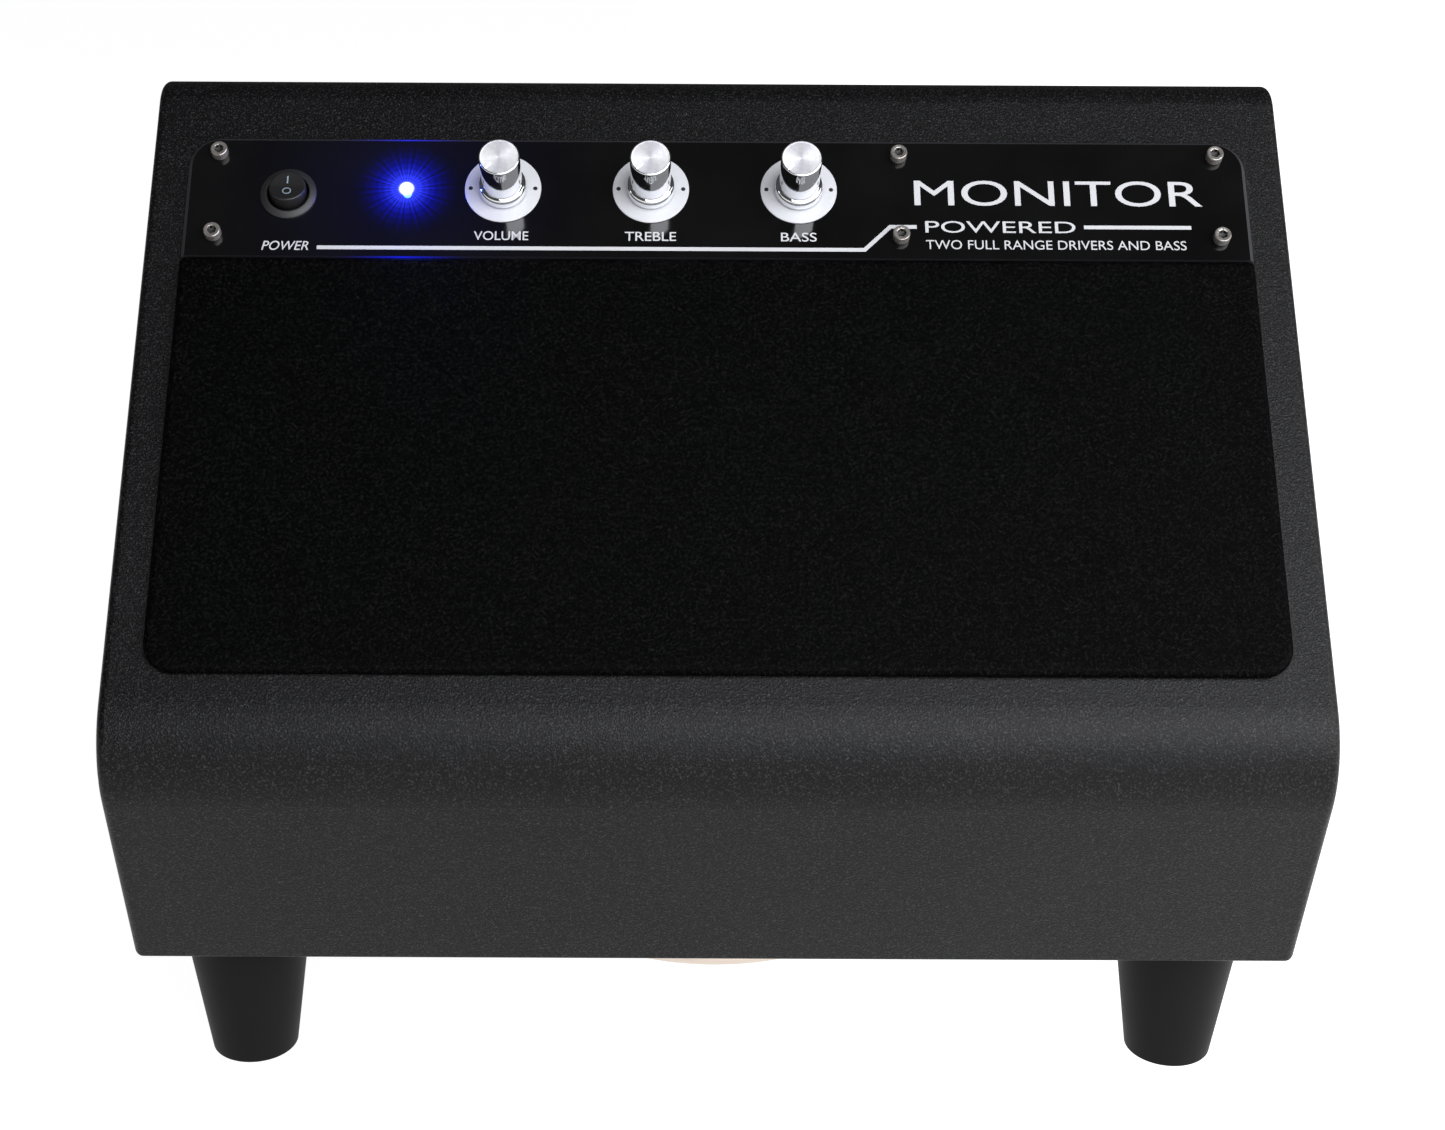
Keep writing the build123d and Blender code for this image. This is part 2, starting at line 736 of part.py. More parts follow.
def make_amplifier():
    """Back plate with its inlet and jacks, and the electronics behind it."""
    face_low = -amp_recess - amp_thickness
    face_top = -amp_recess
    outline = fillet(Rectangle(amp_width, amp_height).vertices(), 0.5)
    plate = Pos(0, amp_z, face_low) * extrude(outline, amount=amp_thickness)
    screws = []
    for x, z in amp_screw_spots():
        plate -= rod(amp_screw_radius, face_low - 1, 0, x, z)
        top = face_top + amp_screw_head_height
        screw = rod(amp_screw_radius, -board + 1, face_top, x, z)
        screw += rod(amp_screw_head, face_top, top, x, z)
        cross = block(3.6, 0.9, top - 0.8, top + 1, x, z) + block(0.9, 3.6, top - 0.8, top + 1, x, z)
        screws.append(screw - cross)
    jacks = []
    nuts = []
    for x, z in jack_spots:
        plate -= rod(jack_bush, face_low - 1, 0, x, z)
        jack = block(16.0, 22.0, face_low - jack_depth, face_low, x, z)
        jack += rod(jack_bush, face_low, face_top + jack_nut_height + 0.2, x, z)
        jacks.append(jack - rod(jack_bore, face_low - jack_depth + 3, 0, x, z))
        nut = hex_bar(jack_nut, face_top, face_top + jack_nut_height, x, z)
        nuts.append(nut - rod(jack_bush, face_low, 0, x, z))
    inlet, pins = make_inlet(face_top)
    width, height = (side + 2 * inlet_wall for side in inlet_size)
    plate -= block(width, height, face_low - 1, 0, inlet_x, inlet_z)
    circuit_low = face_low - jack_depth - board_thickness
    circuit_top = circuit_low + board_thickness
    circuit = block(190.0, 100.0, circuit_low, circuit_top, 0, amp_z)
    sink = block(sink_width, sink_height, circuit_top, face_low, 2.0, amp_z)
    for fin in range(-3, 4):
        sink -= block(fin_gap, sink_height + 1, circuit_low, face_low - sink_base, fin * fin_pitch, amp_z)
    parts = {
        "amp_plate": plate,
        "amp_plate_screws": group(screws),
        "input_jacks": group(jacks),
        "jack_nuts": group(nuts),
        "mains_inlet": inlet,
        "inlet_pins": pins,
        "amp_board": circuit,
        "heat_sink": sink,
    }
    return {name: behind * part for name, part in parts.items()}


def make_transformer():
    """Toroidal mains transformer standing on the bottom board."""
    floor = foot_height + board
    ring = rod(ring_radius, floor, floor + ring_height) - rod(ring_hole, floor, floor + ring_height)
    rims = ring.edges().group_by(Axis.Z)
    return Pos(ring_x, middle_y + 4.0, 0) * fillet(rims[0] + rims[-1], ring_round)


def main():
    """Make every piece and write each to its own STEP file."""
    os.makedirs("parts", exist_ok=True)
    parts = {"bottom_panel": make_bottom(), "rear_panel": make_back()}
    makers = (
        make_boards,
        make_sides,
        make_feet,
        make_grille,
        make_fascia,
        make_knobs,
        make_switch,
        make_led,
        make_drivers,
        make_amplifier,
    )
    for maker in makers:
        parts.update(maker())
    parts["transformer"] = make_transformer()
    for name, part in parts.items():
        export_step(part, f"parts/{name}.step")


main()
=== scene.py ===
import json
from math import atan2, cos, hypot, pi, radians, sin, sqrt, tan

import bpy
import bmesh
from mathutils import Matrix, Vector


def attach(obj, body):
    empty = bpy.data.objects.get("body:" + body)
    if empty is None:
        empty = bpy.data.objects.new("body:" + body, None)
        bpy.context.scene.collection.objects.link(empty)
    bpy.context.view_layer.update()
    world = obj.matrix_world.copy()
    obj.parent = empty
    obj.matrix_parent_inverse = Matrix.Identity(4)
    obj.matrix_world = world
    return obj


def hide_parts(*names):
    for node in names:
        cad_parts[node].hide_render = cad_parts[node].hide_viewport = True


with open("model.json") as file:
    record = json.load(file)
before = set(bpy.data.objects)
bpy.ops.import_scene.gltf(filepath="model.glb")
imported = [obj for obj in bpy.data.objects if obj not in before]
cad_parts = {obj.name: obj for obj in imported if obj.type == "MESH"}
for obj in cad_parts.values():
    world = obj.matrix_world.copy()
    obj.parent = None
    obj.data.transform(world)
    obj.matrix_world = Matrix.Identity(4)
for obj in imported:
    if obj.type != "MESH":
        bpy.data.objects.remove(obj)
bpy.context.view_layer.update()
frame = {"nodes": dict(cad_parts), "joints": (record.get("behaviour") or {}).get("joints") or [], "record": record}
MM = 0.001
CABINET = "cabinet"

# ------------------------------------------------------------------ places, from the frame
joints = {joint["name"]: joint for joint in frame["joints"]}
slot_of = {row["node"]: row["material_slot"] for row in frame["record"]["subparts"]}
RIGHT = Vector((1, 0, 0))
NORMAL = Vector(joints["treble_turn"]["axis"]).normalized()
UP_SLOPE = NORMAL.cross(RIGHT)


def placed(origin, x_axis, y_axis, z_axis):
    """Matrix of a local frame at origin."""
    matrix = Matrix((x_axis, y_axis, z_axis)).transposed().to_4x4()
    matrix.translation = origin
    return matrix


# Local frame of the sloped face: x to the right, y up the slope, z outwards
SLOPE = placed(NORMAL * NORMAL.dot(Vector(joints["treble_turn"]["pos_m"])), RIGHT, UP_SLOPE, NORMAL)


def at_joint(name):
    """Slope frame moved to a joint's own point."""
    return placed(Vector(joints[name]["pos_m"]), RIGHT, UP_SLOPE, NORMAL)


def on_slope(x, y, z=0.0):
    """Frame at a point of the slope, in mm."""
    return SLOPE @ Matrix.Translation(Vector((x, y, z)) * MM)


def solids(name, place=SLOPE):
    """Boxes of a CAD node's separate solids in a local frame, in mm, left to right."""
    bm = bmesh.new()
    bm.from_mesh(frame["nodes"][name].data)
    bmesh.ops.remove_doubles(bm, verts=bm.verts, dist=0.001 * MM)
    bm.verts.ensure_lookup_table()
    back = place.inverted()
    seen, boxes = set(), []
    for start in bm.verts:
        if start.index in seen:
            continue
        seen.add(start.index)
        queue, points = [start], []
        while queue:
            vertex = queue.pop()
            points.append((back @ vertex.co) / MM)
            for edge in vertex.link_edges:
                other = edge.other_vert(vertex)
                if other.index not in seen:
                    seen.add(other.index)
                    queue.append(other)
        low = Vector([min(point[i] for point in points) for i in range(3)])
        high = Vector([max(point[i] for point in points) for i in range(3)])
        boxes.append((low, high))
    bm.free()
    return sorted(boxes, key=lambda box: (round(box[0].x), round(box[0].y)))


def middle(box):
    """Centre of a box."""
    return (box[0] + box[1]) / 2


fascia_low, fascia_high = solids("control_fascia")[0]
led_low, led_high = solids("led_lens")[0]
LAMP = SLOPE @ (Vector(((led_low.x + led_high.x) / 2, (led_low.y + led_high.y) / 2, led_high.z)) * MM)


# ------------------------------------------------------------------ node material helpers
class Shader:
    """A node material with short ways to add nodes and links."""

    def __init__(self, name):
        self.material = bpy.data.materials.new(name)
        self.material.use_nodes = True
        self.tree = self.material.node_tree
        self.surface = self.tree.nodes["Principled BSDF"]
        self.coords = self.node("ShaderNodeTexCoord").outputs["Object"]

    def node(self, kind, **values):
        made = self.tree.nodes.new(kind)
        for key, value in values.items():
            setattr(made, key, value)
        return made

    def link(self, source, target):
        self.tree.links.new(source, target)

    def set(self, **values):
        for key, value in values.items():
            self.surface.inputs[key.replace("_", " ")].default_value = value

    def noise(self, scale, detail=3.0, rough=0.55, coords=None):
        made = self.node("ShaderNodeTexNoise")
        made.inputs["Scale"].default_value = scale
        made.inputs["Detail"].default_value = detail
        made.inputs["Roughness"].default_value = rough
        self.link(coords or self.coords, made.inputs["Vector"])
        return made.outputs["Fac"]

    def spread(self, source, low, high, to_low=0.0, to_high=1.0):
        made = self.node("ShaderNodeMapRange")
        made.clamp = True
        ends = {"From Min": low, "From Max": high, "To Min": to_low, "To Max": to_high}
        for name, value in ends.items():
            made.inputs[name].default_value = value
        self.link(source, made.inputs["Value"])
        return made.outputs["Result"]

    def math(self, operation, first, second=None):
        made = self.node("ShaderNodeMath", operation=operation)
        for socket, value in zip(made.inputs, (first, second)):
            if isinstance(value, (int, float)):
                socket.default_value = value
            elif value is not None:
                self.link(value, socket)
        return made.outputs["Value"]

    def blend(self, factor, first, second):
        made = self.node("ShaderNodeMix", data_type="RGBA")
        self.link(factor, made.inputs["Factor"])
        colours = [socket for socket in made.inputs if socket.type == "RGBA"]
        for socket, value in zip(colours, (first, second)):
            if hasattr(value, "is_output"):
                self.link(value, socket)
            else:
                socket.default_value = (*value, 1)
        return [socket for socket in made.outputs if socket.type == "RGBA"][0]

    def colour(self, source):
        self.link(source, self.surface.inputs["Base Color"])

    def roughness(self, source):
        self.link(source, self.surface.inputs["Roughness"])

    def bump(self, height, distance, strength=1.0):
        made = self.node("ShaderNodeBump")
        made.inputs["Distance"].default_value = distance
        made.inputs["Strength"].default_value = strength
        self.link(height, made.inputs["Height"])
        normal = self.surface.inputs["Normal"]
        if normal.is_linked:
            self.link(normal.links[0].from_socket, made.inputs["Normal"])
        self.link(made.outputs["Normal"], normal)

    def axis_value(self, axis):
        made = self.node("ShaderNodeSeparateXYZ")
        self.link(self.coords, made.inputs["Vector"])
        return made.outputs[axis]

    def dot(self, vector, direction):
        made = self.node("ShaderNodeVectorMath", operation="DOT_PRODUCT")
        self.link(vector, made.inputs[0])
        if hasattr(direction, "is_output"):
            self.link(direction, made.inputs[1])
        else:
            made.inputs[1].default_value = direction
        return made.outputs["Value"]

    def offset(self, point):
        made = self.node("ShaderNodeVectorMath", operation="SUBTRACT")
        self.link(self.coords, made.inputs[0])
        made.inputs[1].default_value = point
        return made.outputs["Vector"]

    def surface_normal(self):
        return self.node("ShaderNodeNewGeometry").outputs["Normal"]

    def edges(self, radius):
        """Mask that is 1 along worn outer edges and corners and 0 on open faces."""
        rounded = self.node("ShaderNodeBevel", samples=4)
        rounded.inputs["Radius"].default_value = radius
        bend = self.dot(rounded.outputs["Normal"], self.surface_normal())
        patchy = self.spread(self.noise(220.0), 0.35, 0.6)
        return self.math("MULTIPLY", self.spread(bend, 0.995, 0.86), patchy)


def plain_finish(name, colour, rough, metal=0.0, grain=900.0, depth=0.02, vary=0.25, drift=0.08, wear=0.5):
    """Finish with cloudy colour, drifting roughness, a fine grain and lighter worn edges."""
    shader = Shader(name)
    cloud = shader.noise(35.0, 4.0)
    fine = shader.noise(grain, 3.0, 0.6)
    dark = [value * (1 - vary) for value in colour]
    light = [min(1.0, value * (1 + vary)) for value in colour]
    base = shader.blend(shader.spread(cloud, 0.3, 0.7), dark, light)
    mixed = shader.math("ADD", shader.math("MULTIPLY", cloud, 0.6), shader.math("MULTIPLY", fine, 0.4))
    if wear:
        rubbed = [min(1.0, value * 1.5 + 0.004) for value in colour]
        base = shader.blend(shader.math("MULTIPLY", shader.edges(wear * MM), 0.7), base, rubbed)
    shader.colour(base)
    shader.roughness(shader.spread(mixed, 0.3, 0.7, max(0.02, rough - drift), rough + drift))
    shader.bump(fine, depth * MM)
    shader.set(Metallic=metal)
    return shader


def paint():
    """Textured charcoal paint: fine hard spatter whose raised grains are painted lighter, partly their own tone
    and partly painted highlight, satin, a few pale specks and rubbed edges.
    """
    shader = Shader("textured_paint")
    spatter = shader.noise(1250.0, 3.0, 0.65)
    coarse = shader.noise(420.0, 2.0)
    broad = shader.noise(14.0, 3.0)
    patches = shader.spread(broad, 0.35, 0.65)
    base = shader.blend(patches, (0.0011, 0.0011, 0.0013), (0.0021, 0.0021, 0.0023))
    # Raised spatter grains painted much lighter: partly their own tone, partly a painted highlight where the grain
    # tops catch light.
    grain_tone_and_highlight_mask = shader.math("POWER", shader.spread(spatter, 0.47, 0.70), 2.0)
    grain_tone_and_highlight = shader.blend(grain_tone_and_highlight_mask, base, (0.034, 0.034, 0.036))
    dots = shader.node("ShaderNodeTexVoronoi")
    dots.inputs["Scale"].default_value = 85.0
    shader.link(shader.coords, dots.inputs["Vector"])
    near = shader.math("LESS_THAN", dots.outputs["Distance"], 0.022)
    few = shader.math("GREATER_THAN", shader.dot(dots.outputs["Color"], (1, 0, 0)), 0.93)
    dotted = shader.blend(shader.math("MULTIPLY", near, few), grain_tone_and_highlight, (0.16, 0.16, 0.16))
    worn = shader.math("MULTIPLY", shader.edges(1.2 * MM), 0.35)
    shader.colour(shader.blend(worn, dotted, (0.018, 0.018, 0.020)))
    shader.roughness(shader.spread(spatter, 0.3, 0.7, 0.44, 0.27))
    shader.bump(spatter, 0.26 * MM)
    shader.bump(coarse, 0.08 * MM)
    shader.set(Specular_IOR_Level=0.17)
    return shader


def cloth():
    """Fine black speaker cloth: crossed knit rows, speckled threads and a soft nap."""
    shader = Shader("speaker_cloth")
    rows = []
    for axis in ("X", "Y"):
        turned_by = shader.math("MULTIPLY", shader.axis_value(axis), 2 * pi / (1.15 * MM))
        rows.append(shader.math("SINE", turned_by))
    weave = shader.math("MULTIPLY", rows[0], rows[1])
    speckle = shader.noise(820.0, 4.0, 0.85)
    threads = shader.math("ADD", shader.math("MULTIPLY", weave, 0.10), speckle)
    mask = shader.math("POWER", shader.spread(threads, 0.49, 0.72), 2.0)
    broad = shader.spread(shader.noise(9.0, 3.0), 0.3, 0.7)
    low = shader.blend(broad, (0.0001, 0.0001, 0.0001), (0.0003, 0.0003, 0.0003))
    shader.colour(shader.blend(mask, low, (0.0150, 0.0150, 0.0152)))
    shader.roughness(shader.spread(speckle, 0.3, 0.7, 0.52, 0.34))
    shader.bump(threads, 0.25 * MM)
    shader.set(Specular_IOR_Level=0.022)
    return shader


def spun_metal():
    """Chrome knob face with fine rings left by turning and a bright radial streak painted into its colour as a
    highlight.
    """
    shader = Shader("spun_face")
    shader.set(Metallic=0.35, Anisotropic=0.8)
    x = shader.axis_value("X")
    y = shader.axis_value("Y")
    squared = shader.math("ADD", shader.math("MULTIPLY", x, x), shader.math("MULTIPLY", y, y))
    reach = shader.math("SQRT", squared)
    rings = shader.math("SINE", shader.math("MULTIPLY", reach, 2 * pi / (0.16 * MM)))
    angle = shader.math("ARCTAN2", y, x)
    # Two opposite sectors painted lighter: a painted highlight streak that stands in for the spun face's
    # reflection.
    painted_streak_wave = shader.math("SINE", shader.math("ADD", shader.math("MULTIPLY", angle, 2.0), 1.9))
    painted_streak = shader.math("MULTIPLY", shader.spread(painted_streak_wave, -1.0, 1.0), 0.7)
    streak_and_speckle = shader.math("ADD", painted_streak, shader.noise(500.0))
    shader.colour(shader.blend(shader.spread(streak_and_speckle, 0.4, 1.2), (0.50, 0.50, 0.54), (0.72, 0.72, 0.74)))
    shader.roughness(shader.spread(shader.noise(260.0), 0.3, 0.7, 0.32, 0.42))
    shader.bump(rings, 0.004 * MM, 0.5)
    tangent = shader.node("ShaderNodeTangent", direction_type="RADIAL", axis="Z")
    shader.link(tangent.outputs["Tangent"], shader.surface.inputs["Tangent"])
    return shader


def chrome(name="polished_chrome", rough=0.05, dark=(0.70, 0.71, 0.73), light=(0.82, 0.83, 0.85)):
    """Mirror plating with faint handling marks."""
    shader = Shader(name)
    shader.set(Metallic=1.0)
    haze = shader.noise(120.0, 5.0, 0.65)
    shader.colour(shader.blend(shader.spread(haze, 0.3, 0.7), dark, light))
    shader.roughness(shader.spread(haze, 0.35, 0.75, rough, rough + 0.06))
    shader.bump(shader.noise(900.0), 0.0012 * MM, 0.5)
    return shader


def acrylic():
    """Polished black sheet with its edges painted lighter as a reflection, and a painted blue glow of the
    indicator around the lens and along its edges.
    """
    shader = Shader("black_acrylic")
    smear = shader.noise(28.0, 4.0)
    patches = shader.spread(smear, 0.3, 0.7)
    base = shader.blend(patches, (0.0014, 0.0014, 0.0016), (0.0026, 0.0026, 0.0028))
    flat = shader.math("ABSOLUTE", shader.dot(shader.surface_normal(), NORMAL))
    rim = shader.spread(flat, 0.95, 0.75)
    # Edge and chamfer faces painted lighter: a painted reflection along the sheet's rims.
    shader.colour(shader.blend(rim, base, (0.030, 0.030, 0.034)))
    polish = shader.spread(smear, 0.35, 0.7, 0.07, 0.13)
    shader.roughness(shader.math("ADD", polish, shader.math("MULTIPLY", rim, 0.3)))
    shader.bump(shader.noise(60.0), 0.003 * MM, 0.3)
    shader.set(IOR=1.49)
    # From here on, a painted blue glow of the indicator on the sheet, as emission: a rayed halo, a faint far haze,
    # glinting rims beside it and a white core.
    away = shader.offset(LAMP)
    across = shader.dot(away, RIGHT)
    along = shader.dot(away, UP_SLOPE)
    across_squared = shader.math("MULTIPLY", across, across)
    squared = shader.math("ADD", across_squared, shader.math("MULTIPLY", along, along))
    reach = shader.math("SQRT", squared)
    angle = shader.math("ARCTAN2", along, across)
    fine = shader.math("SINE", shader.math("MULTIPLY", angle, 43.0))
    slow = shader.math("SINE", shader.math("ADD", shader.math("MULTIPLY", angle, 29.0), 1.3))
    ripple = shader.math("SINE", shader.math("MULTIPLY", reach, 2 * pi / (2.6 * MM)))
    rays = shader.math("ADD", shader.math("ADD", fine, slow), shader.math("MULTIPLY", ripple, 0.5))
    ray_share = shader.spread(rays, -1.6, 1.9, 0.28, 1.0)
    core = shader.math("POWER", shader.spread(reach, 1.5 * MM, 26.0 * MM, 1.0, 0.0), 3.9)
    halo = shader.math("MULTIPLY", shader.math("MULTIPLY", core, ray_share), 3.0)
    far_fade = shader.math("POWER", shader.spread(reach, 0.0, 85.0 * MM, 1.0, 0.0), 2.0)
    haze = shader.math("MULTIPLY", far_fade, 0.018)
    sideways = shader.math("ABSOLUTE", across)
    beside = shader.math("POWER", shader.spread(sideways, 0.0, 30.0 * MM, 1.0, 0.0), 2.2)
    lit_rim = shader.math("MULTIPLY", shader.math("MULTIPLY", rim, beside), 0.7)
    bloom = shader.math("MULTIPLY", shader.spread(reach, 2.0 * MM, 3.5 * MM, 1.0, 0.0), 4.0)
    strength = shader.math("ADD", shader.math("ADD", halo, haze), shader.math("ADD", lit_rim, bloom))
    nearness = shader.spread(reach, 4.0 * MM, 12.0 * MM, 1.0, 0.0)
    deep = shader.blend(nearness, (0.001, 0.008, 1.0), (0.03, 0.05, 1.0))
    tint = shader.blend(shader.spread(reach, 2.0 * MM, 3.5 * MM, 1.0, 0.0), deep, (0.5, 0.55, 1.0))
    shader.link(tint, shader.surface.inputs["Emission Color"])
    shader.link(strength, shader.surface.inputs["Emission Strength"])
    return shader


def lamp_glass():
    """Lit indicator lens: almost white at the heart and blue at its rim."""
    shader = Shader("lit_lens")
    glow = shader.noise(300.0)
    shader.colour(shader.blend(glow, (0.25, 0.3, 1.0), (0.4, 0.45, 1.0)))
    facing = shader.node("ShaderNodeLayerWeight")
    facing.inputs["Blend"].default_value = 0.4
    rim = shader.blend(facing.outputs["Facing"], (0.85, 0.88, 1.0), (0.05, 0.08, 1.0))
    shader.link(rim, shader.surface.inputs["Emission Color"])
    shader.roughness(shader.spread(glow, 0.3, 0.7, 0.10, 0.2))
    shader.bump(glow, 0.004 * MM, 0.3)
    shader.set(Emission_Strength=7.0)
    return shader


def brushed(name, colour, rough, scale=(1.0, 60.0, 60.0)):
    """Metal with long fine scratches along one axis."""
    shader = Shader(name)
    stretched = shader.node("ShaderNodeMapping")
    stretched.inputs["Scale"].default_value = scale
    shader.link(shader.coords, stretched.inputs["Vector"])
    lines = shader.noise(60.0, 4.0, 0.7, stretched.outputs["Vector"])
    dark = [value * 0.8 for value in colour]
    shader.colour(shader.blend(shader.spread(lines, 0.3, 0.7), dark, colour))
    shader.roughness(shader.spread(lines, 0.3, 0.7, rough - 0.08, rough + 0.1))
    shader.bump(lines, 0.006 * MM, 0.6)
    shader.set(Metallic=1.0)
    return shader


def silver_paint():
    """Satin silver lacquer with a very fine sparkle."""
    return plain_finish(
        "satin_silver", (0.49, 0.495, 0.52), 0.36,
        metal=0.08, grain=2600.0, depth=0.005, vary=0.05, drift=0.06, wear=0,
    )


def matte_rubber():
    """Moulded rubber with a dull skin."""
    shader = plain_finish(
        "foot_rubber", (0.0036, 0.0036, 0.0037), 0.55,
        grain=1500.0, depth=0.03, vary=0.15, drift=0.07, wear=0.8,
    )
    shader.set(Specular_IOR_Level=0.11)
    return shader


def worn_steel():
    """Bright steel screw, a little dulled and warm."""
    shader = chrome("bright_steel", 0.24, (0.22, 0.20, 0.185), (0.34, 0.32, 0.30))
    shader.set(Metallic=0.7)
    return shader


finishes = {
    "painted_board": paint(),
    "foot_rubber": matte_rubber(),
    "zinc_screw": brushed("zinc_plate", (0.6, 0.61, 0.62), 0.3),
    "grille_board": plain_finish("grille_board", (0.008, 0.008, 0.008), 0.7, grain=500.0, depth=0.05),
    "grille_cloth": cloth(),
    "soft_rubber": plain_finish("soft_rubber", (0.012, 0.012, 0.012), 0.55, grain=800.0),
    "gloss_acrylic": acrylic(),
    "bright_screw": worn_steel(),
    "silver_disc": silver_paint(),
    "chrome_knob": chrome(),
    "steel_shaft": brushed("turned_steel", (0.55, 0.55, 0.56), 0.32),
    "sheet_steel": plain_finish("black_sheet_steel", (0.02, 0.02, 0.021), 0.42, grain=700.0, depth=0.03),
    "circuit_board": plain_finish("green_board", (0.012, 0.085, 0.032), 0.35, grain=600.0),
    "switch_plastic": plain_finish(
        "black_nylon", (0.0075, 0.0075, 0.008), 0.42,
        grain=1600.0, vary=0.12, drift=0.07, wear=0.3,
    ),
    "led_blue": lamp_glass(),
    "ferrite": plain_finish("ferrite", (0.03, 0.03, 0.032), 0.6, metal=0.2, grain=400.0, depth=0.06),
    "cone_paper": plain_finish(
        "paper_pulp", (0.014, 0.014, 0.014), 0.78,
        grain=420.0, depth=0.12, vary=0.3, wear=0,
    ),
    "chamber_plastic": plain_finish("chamber_plastic", (0.02, 0.02, 0.02), 0.5),
    "black_screw": plain_finish("black_oxide", (0.018, 0.018, 0.02), 0.34, metal=0.6, depth=0.01),
    "trim_metal": brushed("anodised_trim", (0.74, 0.64, 0.56), 0.2, (1.0, 1.0, 40.0)),
    "amp_metal": plain_finish("black_powder_coat", (0.010, 0.010, 0.011), 0.5, grain=1300.0, depth=0.09),
    "bare_aluminium": brushed("bare_aluminium", (0.66, 0.67, 0.68), 0.35),
    "nickel": chrome("nickel_plate", 0.16),
    "transformer_tape": plain_finish("winding_tape", (0.35, 0.22, 0.04), 0.45, grain=300.0, depth=0.05),
}
ink = plain_finish(
    "white_ink", (0.44, 0.445, 0.46), 0.5,
    grain=2500.0, depth=0.003, vary=0.04, drift=0.06, wear=0,
).material

for node_name, node in frame["nodes"].items():
    node.data.materials.clear()
    node.data.materials.append(finishes[slot_of[node_name]].material)


# ------------------------------------------------------------------ mesh helpers
def add_piece(name, mesh, place, body, materials, node=None, smooth=35.0):
    """Put a mesh in the scene, finish it, let it ride on its body and stand for a CAD node."""
    if smooth:
        mesh.polygons.foreach_set("use_smooth", [True] * len(mesh.polygons))
        mesh.set_sharp_from_angle(angle=radians(smooth))
    for material in materials:
        mesh.materials.append(material)
    piece = bpy.data.objects.new(name, mesh)
    bpy.context.scene.collection.objects.link(piece)
    piece.matrix_world = place
    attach(piece, body)
    if node:
        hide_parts(node)
    return piece


def mesh_from(name, points, faces, scale=MM):
    """Mesh from points in mm and faces."""
    mesh = bpy.data.meshes.new(name)
    mesh.from_pydata([tuple(value * scale for value in point) for point in points], [], faces)
    mesh.validate()
    mesh.update()
    return mesh


def lofted(name, rings, cap_low=True, cap_high=True):
    """Mesh through a stack of rings with the same number of points."""
    count = len(rings[0])
    points = [point for ring in rings for point in ring]
    faces = []
    for level in range(len(rings) - 1):
        low, high = level * count, (level + 1) * count
        for i in range(count):
            j = (i + 1) % count
            faces.append((low + i, low + j, high + j, high + i))
    if cap_low:
        faces.append(tuple(reversed(range(count))))
    if cap_high:
        faces.append(tuple(range(len(points) - count, len(points))))
    return mesh_from(name, points, faces)


def looped(name, rings):
    """Closed ring-shaped mesh: the last ring joins the first."""
    mesh = lofted(name, rings + rings[:1], False, False)
    bm = bmesh.new()
    bm.from_mesh(mesh)
    bmesh.ops.remove_doubles(bm, verts=bm.verts, dist=0.0001 * MM)
    bmesh.ops.recalc_face_normals(bm, faces=bm.faces)
    bm.to_mesh(mesh)
    bm.free()
    return mesh


def circle(radius, height, count=96):
    turns = [2 * pi * i / count for i in range(count)]
    return [(radius * cos(turn), radius * sin(turn), height) for turn in turns]


def hexagon(across, height, count=96):
    """Hexagon outline sampled at the same angles as a circle."""
    ring = []
    for i in range(count):
        angle = 2 * pi * i / count
        radius = across / 2 / cos((angle % (pi / 3)) - pi / 6)
        ring.append((radius * cos(angle), radius * sin(angle), height))
    return ring


def arc(centre, radius, start, end, steps):
    """Points on an arc, angles in degrees."""
    turns = [radians(start + (end - start) * i / steps) for i in range(steps + 1)]
    return [(centre[0] + radius * cos(a), centre[1] + radius * sin(a)) for a in turns]


# ------------------------------------------------------------------ grille cloth
grille_low, grille_high = solids("grille_cloth")[0]
driver_boxes = [solids(name)[0] for name in ("left_driver_frame", "right_driver_frame")]
GRILLE_CORNER = 12.0
EDGE_ROUND = 2.8
ROW = 2.0  # distance between the rings of the cloth's mesh
TUCK = 9.0  # how far the cloth goes in behind the frame


def corner_list(inset):
    """Corner centres, radii and first angles of the grille outline drawn in by inset."""
    half = grille_high.x - inset
    low, high = grille_low.y + inset, grille_high.y - inset
    big, small = max(0.05, GRILLE_CORNER - inset), max(0.05, EDGE_ROUND - inset)
    return [
        (half - big, low + big, big, -90),
        (half - small, high - small, small, 0),
        (small - half, high - small, small, 90),
        (big - half, low + big, big, 180),
    ]


def grille_outline(inset, along=110, up=46, bend_steps=8):
    """Grille outline drawn in by inset, as points that match from one inset to the next."""
    corners = corner_list(inset)
    points = []
    for index, (x, y, radius, start) in enumerate(corners):
        bend = arc((x, y), radius, start, start + 90, bend_steps)
        points += bend
        next_x, next_y, next_radius, next_start = corners[(index + 1) % 4]
        goal = arc((next_x, next_y), next_radius, next_start, next_start, 1)[0]
        steps = up if index % 2 == 0 else along
        for step in range(1, steps):
            share = step / steps
            points.append(tuple(a + (b - a) * share for a, b in zip(bend[-1], goal)))
    return points


def cloth_drop(x, y):
    """How far the cloth lies below flat: a dip over the round openings and a faint drift."""
    drop = 0.03 + 0.05 * sin(x / 41.0 + 0.7) * cos(y / 29.0) + 0.03 * sin(x / 17.0 + y / 23.0)
    for box in driver_boxes:
        centre = middle(box)
        radius = (box[1].x - box[0].x) / 2 + 1.5
        share = max(0.0, min(1.0, (radius - hypot(x - centre.x, y - centre.y)) / 4.0))
        drop += 0.05 * share * share * (3 - 2 * share)
    return max(0.0, drop)


